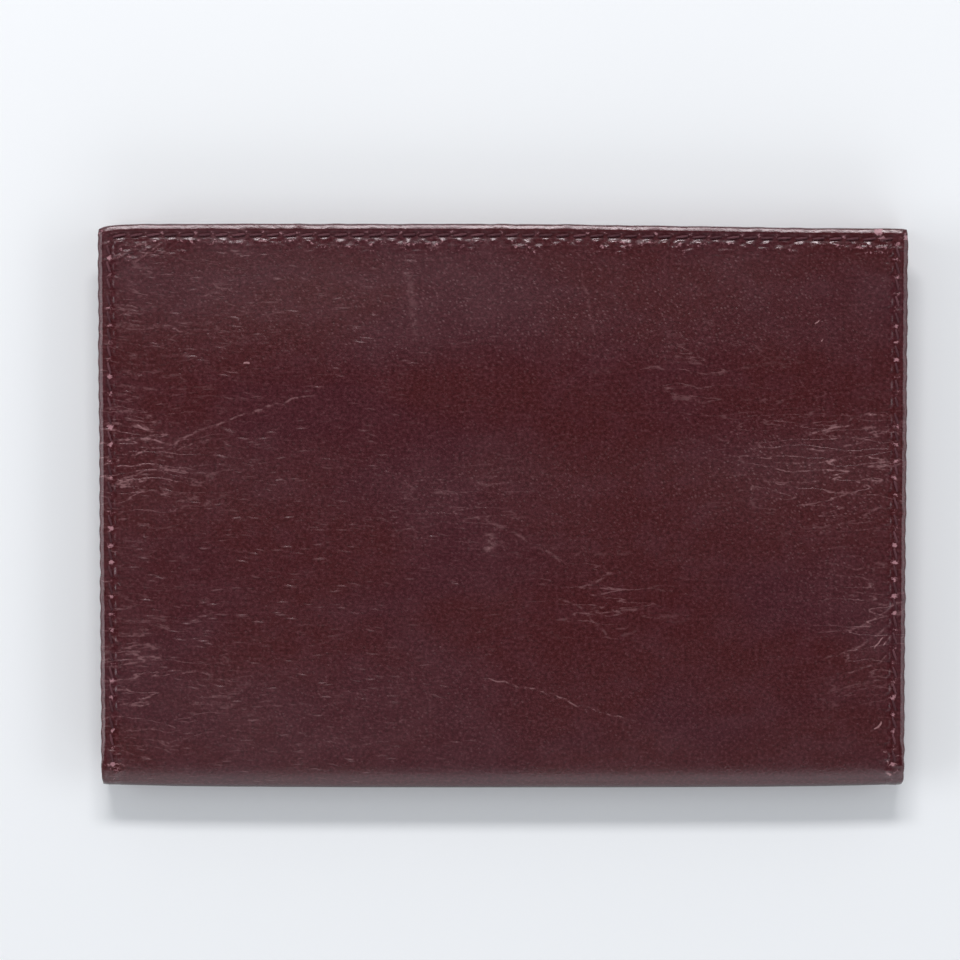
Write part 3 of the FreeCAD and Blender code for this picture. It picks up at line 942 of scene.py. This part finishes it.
def cover_skin(name, front, material):
    """One half of the cover leather: outer face, turned edge, hem and the side that is glued down."""
    x_grid, s_grid = X_EDGE - EDGE_ROUND, S_EDGE - EDGE_ROUND
    xs = spaced(-x_grid, x_grid, 0.50, 0.23, 4.2)
    ss = np.concatenate([[0.0, 0.03], spaced(0.4, s_grid, 0.34, 0.20, 5.0)])
    x, s = np.meshgrid(xs, ss)
    x, s = round_corners(x, s, x_grid, s_grid, 0.15)
    n = -cover_relief(x, s, front)
    outer = np.column_stack([x.ravel(), s.ravel()])
    shell = Shell()
    shell.grid(x, s, n, outer)

    edge = boundary(*x.shape)
    line = outer[edge]
    out = outward(line)
    last = edge.tolist()
    for px, ps, pn, along in edge_loops(line, out, n.ravel()[edge]):
        fresh = shell.add(px, ps, pn, line + out * along[:, None])
        shell.faces.extend(loop_faces(last, fresh, closed=False))
        last = fresh
    shell.faces.extend(underside(last, len(ss)))

    x, s, n, unrolled = shell.joined()
    flat = np.column_stack([unrolled * (1.0, 1.0 if front else -1.0), n])
    faces = shell.faces if front else [f[::-1] for f in shell.faces]
    extra = {
        "rubbed": wear_and_painted_glints(x, s, n, front),
        "haze": dulled(x, s, front),
        "speckled": zones(x, s, SPECKLED, front),
        "creased": zones(x, s, CREASED, front),
    }
    return make_object(name, place(x, s, n, front), faces, flat, material, extra)


def lining_sheet(name, front, material):
    """The fabric of one half, from the middle of the spine to under the fore edge's hem."""
    s_end = s_of(cad_box("back_lining")[1][1])
    xs = np.linspace(-X_LINING, X_LINING, 120)
    ss = np.concatenate([[0.0, 0.04], np.linspace(0.5, s_end, 110)])
    x, s = np.meshgrid(xs, ss)
    ripple = 0.03 * noise(x / 7.0, s / 5.0, 70) * smooth(ARC + 6.0, ARC - 1.0, s)
    n = np.full_like(x, LINING_TOP) + ripple
    sign = 1.0 if front else -1.0
    flat = np.stack([x, sign * s, n], axis=-1)
    faces = grid_faces(*x.shape, flip=front)
    obj = make_object(name, place(x, s, n, front), faces, flat, material)
    return obj


def bend_with_spine(obj):
    """Bakes a piece's transform into its mesh; place() has already bent its points round the spine."""
    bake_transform(obj)


# ---- Pockets


def half_box(node, front):
    """A node's box in its half's own terms: x range, s range, and depths of its outer and inner side."""
    low, high = cad_box(node)
    depths = (THICKNESS - high[2], THICKNESS - low[2]) if front else (low[2], high[2])
    return (low[0], high[0]), (s_of(low[1]), s_of(high[1])), depths


def ring_round(rows, columns):
    """Point numbers all the way round a grid."""
    return np.concatenate([boundary(rows, columns), np.arange(columns - 2, 0, -1)])


def away(line):
    """Unit vectors that point out of a closed line of points that runs clockwise."""
    ahead = np.roll(line, -1, axis=0) - np.roll(line, 1, axis=0)
    out = np.stack([-ahead[:, 1], ahead[:, 0]], axis=1)
    return out / np.linalg.norm(out, axis=1, keepdims=True)


def notched(x, s, s_low, notch):
    """s moved so that the panel's low s side dips in an arc: notch is its middle, radius and depth."""
    middle, radius, depth = notch
    bowl = np.sqrt(np.clip(radius**2 - (x - middle) ** 2, 0, None)) - (radius - depth)
    return s + np.clip(bowl, 0, None) * (1 - smooth(0.0, 30.0, s - s_low))


def panel(name, node, front, material, mouth, notch, stitched):
    """A leather pocket panel with rolled edges. mouth is its open side: x (low x) or s (low s)."""
    (x0, x1), (s0, s1), (n0, n1) = half_box(node, front)
    roll = (n1 - n0) / 2
    xs = spaced(x0 + roll, x1 - roll, 1.0, 0.35, 3.5)
    ss = spaced(s0 + roll, s1 - roll, 1.0, 0.35, 3.5)
    x, s = np.meshgrid(xs, ss)
    if notch:
        s = notched(x, s, s0, notch)
    top = n1 + panel_relief(x, s, (x0, x1), (s0, s1), mouth, stitched)
    unworn = np.zeros(x.size)
    shell = Shell()
    shell.grid(x, s, top, unworn, flip=True)

    ring = ring_round(*x.shape)
    line = np.column_stack([x.ravel()[ring], s.ravel()[ring]])
    out = away(line)
    last = ring.tolist()
    for angle in np.linspace(0, math.pi, 9)[1:-1]:
        edge = line + out * roll * math.sin(angle)
        depth = np.full(len(ring), n0 + roll + roll * math.cos(angle))
        fresh = shell.add(edge[:, 0], edge[:, 1], depth, np.full(len(ring), 0.8))
        shell.faces.extend(loop_faces(last, fresh, closed=True, flip=True))
        last = fresh
    under = np.array(shell.grid(x, s, np.full_like(x, n0), unworn))
    shell.faces.extend(loop_faces(last, under[ring].tolist(), closed=True, flip=True))
    return pocket_object(name, node, front, material, shell, 37.0 * (sum(map(ord, name)) % 17))


def pocket_object(name, node, front, material, shell, offset):
    """Turns the shell of a pocket part into an object that replaces its node. offset moves its grain
    along, so that no two parts show the same grain."""
    x, s, n, worn = shell.joined()
    flat = np.column_stack([x + offset, s, n])
    faces = shell.faces if front else [f[::-1] for f in shell.faces]
    obj = make_object(name, place(x, s, n, front), faces, flat, material, {"rubbed": worn})
    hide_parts(node)
    return obj


def panel_relief(x, s, x_range, s_range, mouth, stitched):
    """Depth changes of a pocket panel: a pressed line along its mouth, sunk seams and soft unevenness."""
    rise = 0.03 * noise(x / 11.0, s / 9.0, 90)
    if mouth == "x":
        rise = rise - 0.09 * bump(x - x_range[0] - 1.0, 0.30)
    if mouth == "s":
        rise = rise - 0.09 * bump(s - s_range[0] - 1.2, 0.32)
    for axis, value in stitched:
        off = (x if axis == "x" else s) - value
        rise = rise - 0.10 * bump(off, 0.55)
    return np.minimum(rise, 0.04)


def rectangle(x0, x1, s0, s1, steps):
    """Points round a rectangle, steps on each side."""
    corners = np.array([(x0, s0), (x0, s1), (x1, s1), (x1, s0)])
    share = np.linspace(0, 1, steps + 1)[:-1, None]
    sides = [a + share * (b - a) for a, b in zip(corners, np.roll(corners, -1, axis=0))]
    return np.concatenate(sides)


def window_border(name, node, front, material, border):
    """The leather border round the window, with rolled edges inside and out."""
    (x0, x1), (s0, s1), (n0, n1) = half_box(node, front)
    roll = (n1 - n0) / 2
    outer = rectangle(x0, x1, s0, s1, 59)
    inner = rectangle(x0 + border, x1 - border, s0 + border, s1 - border, 59)
    angles = np.linspace(0, math.pi, 9)
    rolled = [(roll * (1 - math.sin(a)), n0 + roll - roll * math.cos(a)) for a in angles]
    across = [(t, n1) for t in np.linspace(roll, border - roll, 9)[1:-1]]
    sections = rolled + across + [(border - t, depth) for t, depth in rolled[::-1]]
    shell = Shell()
    loops = []
    for t, depth in sections:
        line = outer + (inner - outer) * (t / border)
        seam = 0.10 * bump(t - SEAM_INSET, 0.5) + 0.08 * bump(border - t - 1.2, 0.3)
        n = np.full(len(line), depth - (seam if depth == n1 else 0.0))
        worn = np.full(len(line), 0.8 if t < roll or t > border - roll else 0.0)
        loops.append(shell.add(line[:, 0], line[:, 1], n, worn))
    for a, b in zip(loops, loops[1:] + loops[:1]):
        shell.faces.extend(loop_faces(a, b, closed=True, flip=True))
    return pocket_object(name, node, front, material, shell, 211.0)


def film(name, node, front, material):
    """The clear sheet of the window."""
    (x0, x1), (s0, s1), (n0, _) = half_box(node, front)
    x, s = np.meshgrid(np.linspace(x0 + 0.2, x1 - 0.2, 60), np.linspace(s0 + 0.2, s1 - 0.2, 80))
    n = n0 + 0.17 + 0.05 * noise(x / 12.0, s / 15.0, 95)
    flat = np.stack([x, s, n], axis=-1)
    obj = make_object(name, place(x, s, n, front), grid_faces(*x.shape, flip=front), flat, material)
    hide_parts(node)
    return obj


# ---- Stitches


def stitch(centre, direction, rng):
    """The points of one stitch, in rings: (x, s, height above the seam). It is two plies twisted
    together, lies a little askew, and dips into the leather at both ends."""
    u = np.linspace(-1, 1, STITCH_RINGS)[:, None]
    a = np.linspace(0, 2 * math.pi, STITCH_AROUND, endpoint=False)[None, :]
    taper = np.sqrt(np.clip(1 - np.abs(u) ** 5, 0, None)) * 0.96 + 0.04
    ply = 1 + 0.11 * np.cos(2 * (a - math.pi * 1.15 * u))
    slant = rng.uniform(0.09, 0.17) if direction[0] else rng.uniform(0.22, 0.32)
    half = STITCH_LENGTH / 2 * rng.uniform(0.94, 1.06)
    sink = rng.uniform(-0.03, 0.03)
    along = direction * math.cos(slant) + np.array([-direction[1], direction[0]]) * math.sin(slant)
    off = THREAD_ACROSS * taper * ply * np.cos(a)
    high = THREAD_UP * taper * ply * np.sin(a) + STITCH_RISE * (1 - 2.6 * np.abs(u) ** 2.5)
    x = centre[0] + along[0] * half * u - along[1] * off
    s = centre[1] + along[1] * half * u + along[0] * off
    return x, s, high + sink


def stitch_rows(rows, seed):
    """One thread for each stitch. rows is a list of (centres, direction, depth, up): up is -1 on the
    outer face and 1 on the inner face. Returns points, faces, tones."""
    rng = np.random.RandomState(seed)
    per_stitch = STITCH_RINGS * STITCH_AROUND
    points, faces, tones = [], [], []
    for centres, direction, depth, up in rows:
        for centre in centres:
            x, s, high = stitch(centre, np.array(direction), rng)
            index = len(tones) * per_stitch + np.arange(per_stitch).reshape(STITCH_RINGS, STITCH_AROUND)
            rings = index.tolist()
            for ring, following in zip(rings, rings[1:]):
                faces.extend(loop_faces(ring, following, closed=True))
            faces.append(rings[0][::-1])
            faces.append(rings[-1])
            points.append(np.stack([x, s, depth(centre) + up * high], axis=-1).reshape(-1, 3))
            tones.append(np.full(per_stitch, rng.rand()))
    return np.concatenate(points), faces, np.concatenate(tones)


def threads(name, node, front, rows, material, seed):
    """All the stitches of a seam as one piece, which replaces its node."""
    points, faces, tones = stitch_rows(rows, seed)
    x, s, n = points.T
    if not front:
        faces = [f[::-1] for f in faces]
    obj = make_object(name, place(x, s, n, front), faces, points, material, {"tone": tones})
    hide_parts(node)
    return obj


def outer_rows(front):
    """The cover seam as it shows on the outer face. Its side runs are pulled further in."""

    def depth(centre):
        height = float(cover_relief(np.array([centre[0]]), np.array([centre[1]]), front)[0])
        return -height - (-0.04 if S_EDGE - centre[1] > 2 * SEAM_INSET else 0.12)

    return [(stitch_centres(run), run[1], depth, -1.0) for run in seam_runs()]


def step_depth(steps, centre):
    """The depth of the top layer under a stitch. steps are (low x, high x, depth)."""
    return next(n for low, high, n in steps if low <= centre[0] <= high)


def inner_rows(steps, mouth):
    """The cover seam as it shows on the inner face."""

    def depth(centre):
        if centre[1] < mouth:
            return HEM_TOP
        if centre[1] < mouth + SLOT_SIDE:
            return POCKET_TOP
        return step_depth(steps, centre)

    return [(stitch_centres(run), run[1], depth, 1.0) for run in seam_runs()]


def across_row(x, depth, s_low, s_high):
    """A row across a half, beside a mouth."""
    centres = stitch_centres(((x, s_low), (0.0, 1.0), s_high - s_low))
    return centres, (0.0, 1.0), lambda centre: depth, 1.0


def along_row(x_low, x_high, s, steps):
    """A row along the spine side of the small pockets."""
    centres = stitch_centres(((x_low, s), (1.0, 0.0), x_high - x_low))
    return centres, (1.0, 0.0), lambda centre: step_depth(steps, centre), 1.0


# ---- Putting it together

COVER = cover_leather()
POCKET = pocket_leather()
LINING = lining_cloth()
THREAD = sewing_thread()
FILM = clear_film()
BOARD = stiffener_board()

POCKET_TOP = half_box("document_pocket", False)[2][1]
MOUTH = half_box("document_pocket", False)[1][0]
X_SEAM = X_EDGE - SEAM_INSET
S_SEAM = S_EDGE - SEAM_INSET
S_SIDE = MOUTH + SLOT_SIDE + SEAM_INSET  # the seam along the small pockets' spine side
EDGE_SEAMS = [("x", -X_SEAM), ("x", X_SEAM), ("s", S_SEAM)]
SLOTS = ["card_slot_1", "card_slot_2", "card_slot_3"]


def steps_of(layers, front, low, high):
    """The depth of the top layer along x, from the boxes of layers that each start further along."""
    marks = [(low, POCKET_TOP)] + [(half_box(n, front)[0][0], half_box(n, front)[2][1]) for n in layers]
    edges = [m[0] for m in marks[1:]] + [high]
    return [(start, end, depth) for (start, depth), end in zip(marks, edges)]


def build_covers():
    """The cover leather and the lining of each half, bent with the spine, and the boards' material."""
    for body, front in (("back_half", False), ("front_half", True)):
        side = "front" if front else "back"
        skin = cover_skin(side + "_cover_leather", front, COVER)
        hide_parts(side + "_cover", side + "_turned_hem", "spine_leather")
        bend_with_spine(skin)
        cloth = lining_sheet(side + "_lining_cloth", front, LINING)
        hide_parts(side + "_lining", "spine_lining")
        bend_with_spine(cloth)
        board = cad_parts[side + "_board"]
        board.data.materials.clear()
        board.data.materials.append(BOARD)


def small_pocket(node, front):
    """A pocket with its mouth on the low x side, sewn along the other three and beside the mouth."""
    mouth = half_box(node, front)[0][0]
    seams = [("x", X_SEAM), ("s", S_SEAM), ("s", S_SIDE), ("x", mouth + SEAM_INSET)]
    return panel(node + "_leather", node, front, POCKET, "x", None, seams)


def back_panels():
    """The leather of the back half's pockets."""
    document = panel("document_pocket_leather", "document_pocket", False, POCKET, "s", None, EDGE_SEAMS)
    slots = [small_pocket(node, False) for node in SLOTS]
    border = window_border("id_window_border", "id_window_frame", False, POCKET, WINDOW_BORDER)
    return [document, *slots, border]


def back_seams():
    """The threads of the back half: the cover seam, the card slots and the window."""
    (_, w1), _, (_, window_top) = half_box("id_window_frame", False)
    steps = [(-X_EDGE, w1, window_top)] + steps_of(SLOTS, False, w1, X_EDGE)
    s_high = S_SEAM - PITCH
    cover_rows = outer_rows(False) + inner_rows(steps, MOUTH)
    first = half_box(SLOTS[0], False)[0][0] + SEAM_INSET + PITCH / 2
    card_rows = [along_row(first, X_SEAM - PITCH / 2, S_SIDE, steps)]
    for node in SLOTS:
        (x0, _), _, (_, top) = half_box(node, False)
        card_rows.append(across_row(x0 + SEAM_INSET, top, S_SIDE, s_high))
    window_rows = [
        along_row(-X_SEAM + PITCH / 2, w1 - SEAM_INSET - PITCH / 2, S_SIDE, steps),
        across_row(w1 - SEAM_INSET, window_top, S_SIDE, s_high),
    ]
    return [
        threads("back_cover_threads", "back_cover_stitching", False, cover_rows, THREAD, 101),
        threads("card_slot_threads", "card_slot_stitching", False, card_rows, THREAD, 102),
        threads("id_window_threads", "id_window_stitching", False, window_rows, THREAD, 103),
    ]


def front_panels():
    """The leather of the front half's pockets."""
    name = "passport_pocket_leather"
    passport = panel(name, "passport_pocket", True, POCKET, "s", THUMB_NOTCH, EDGE_SEAMS)
    return [passport, small_pocket("ticket_pocket", True)]


def front_seams():
    """The threads of the front half: the cover seam and the ticket pocket."""
    (x0, _), _, (_, ticket_top) = half_box("ticket_pocket", True)
    steps = [(-X_EDGE, x0, POCKET_TOP), (x0, X_EDGE, ticket_top)]
    cover_rows = outer_rows(True) + inner_rows(steps, MOUTH)
    ticket_rows = [
        along_row(x0 + SEAM_INSET + PITCH / 2, X_SEAM - PITCH / 2, S_SIDE, steps),
        across_row(x0 + SEAM_INSET, ticket_top, S_SIDE, S_SEAM - PITCH),
    ]
    return [
        threads("front_cover_threads", "front_cover_stitching", True, cover_rows, THREAD, 104),
        threads("ticket_pocket_threads", "ticket_pocket_stitching", True, ticket_rows, THREAD, 105),
    ]


def build_pockets():
    """Everything sewn inside each half, which rides on that half's body."""
    back = {
        "pocket_leather": back_panels(),
        "clear_film": [film("id_window_film", "id_window_pane", False, FILM)],
        "thread": back_seams(),
    }
    front = {"pocket_leather": front_panels(), "thread": front_seams()}
    for body, groups in (("back_half", back), ("front_half", front)):
        for slot, pieces in groups.items():
            for piece in pieces:
                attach(piece, body)


def build_floor():
    """A plain floor just under the back cover."""
    bpy.ops.mesh.primitive_plane_add(size=6.0, location=(0, 0, -0.0002))
    floor = bpy.context.object
    floor.name = "floor"
    floor.data.materials.append(pale_floor())


def area_light(name, place_at, size, power, colour):
    """A rectangular light that shines at the middle of the organizer. size is (width, height)."""
    data = bpy.data.lights.new(name, "AREA")
    data.shape = "RECTANGLE"
    data.size, data.size_y = size
    data.energy = power
    data.color = colour
    light = bpy.data.objects.new(name, data)
    light.location = place_at
    light.rotation_mode = "QUATERNION"
    light.rotation_quaternion = (-Vector(place_at)).to_track_quat("-Z", "Y")
    bpy.context.scene.collection.objects.link(light)


def build_light():
    """A soft key above the fore edge, softer lights at the sides, a low fill from the spine's side,
    and a dim room that darkens overhead."""
    area_light("key", (-0.05, 0.92, 0.80), (0.62, 0.15), 8.6, (1.0, 0.985, 0.98))
    area_light("left", (-1.0, 0.0, 0.70), (0.9, 0.35), 3.6, (0.97, 0.98, 1.0))
    area_light("right", (1.0, 0.0, 0.70), (0.9, 0.35), 2.2, (0.97, 0.98, 1.0))
    area_light("fill", (0.25, -1.0, 0.42), (1.2, 0.6), 2.7, (0.95, 0.97, 1.0))
    world = bpy.data.worlds.new("room")
    bpy.context.scene.world = world
    world.use_nodes = True
    world.node_tree.nodes.clear()
    g = Graph(world.node_tree)
    height = g.split(g.node("ShaderNodeTexCoord").outputs["Generated"])[2]
    fall = {"Value": height, "From Min": 0.0, "From Max": 0.86, "To Min": 1.25, "To Max": 0.06}
    strength = g.node("ShaderNodeMapRange", fall).outputs[0]
    room = g.node("ShaderNodeBackground", {"Color": ROOM_BLUE, "Strength": strength})
    g.node("ShaderNodeOutputWorld", {0: room.outputs[0]})


def build_camera():
    """Looks down on the front cover from just above its fore edge, which is at the top of the picture."""
    distance, tilt = 0.70, math.radians(4.0)
    target = Vector((-4.1, 4.9, THICKNESS)) * MM
    data = bpy.data.cameras.new("camera")
    data.sensor_width = 36.0
    data.lens = 146.2
    data.clip_start, data.clip_end = 0.01, 20.0
    camera = bpy.data.objects.new("camera", data)
    back = Vector((0.0, math.sin(tilt), math.cos(tilt)))
    camera.location = target + back * distance
    camera.rotation_euler = (-tilt, 0.0, 0.0)
    bpy.context.scene.collection.objects.link(camera)
    bpy.context.scene.camera = camera


build_covers()
build_pockets()
build_floor()
build_light()
build_camera()
bpy.context.scene.view_settings.view_transform = "Standard"
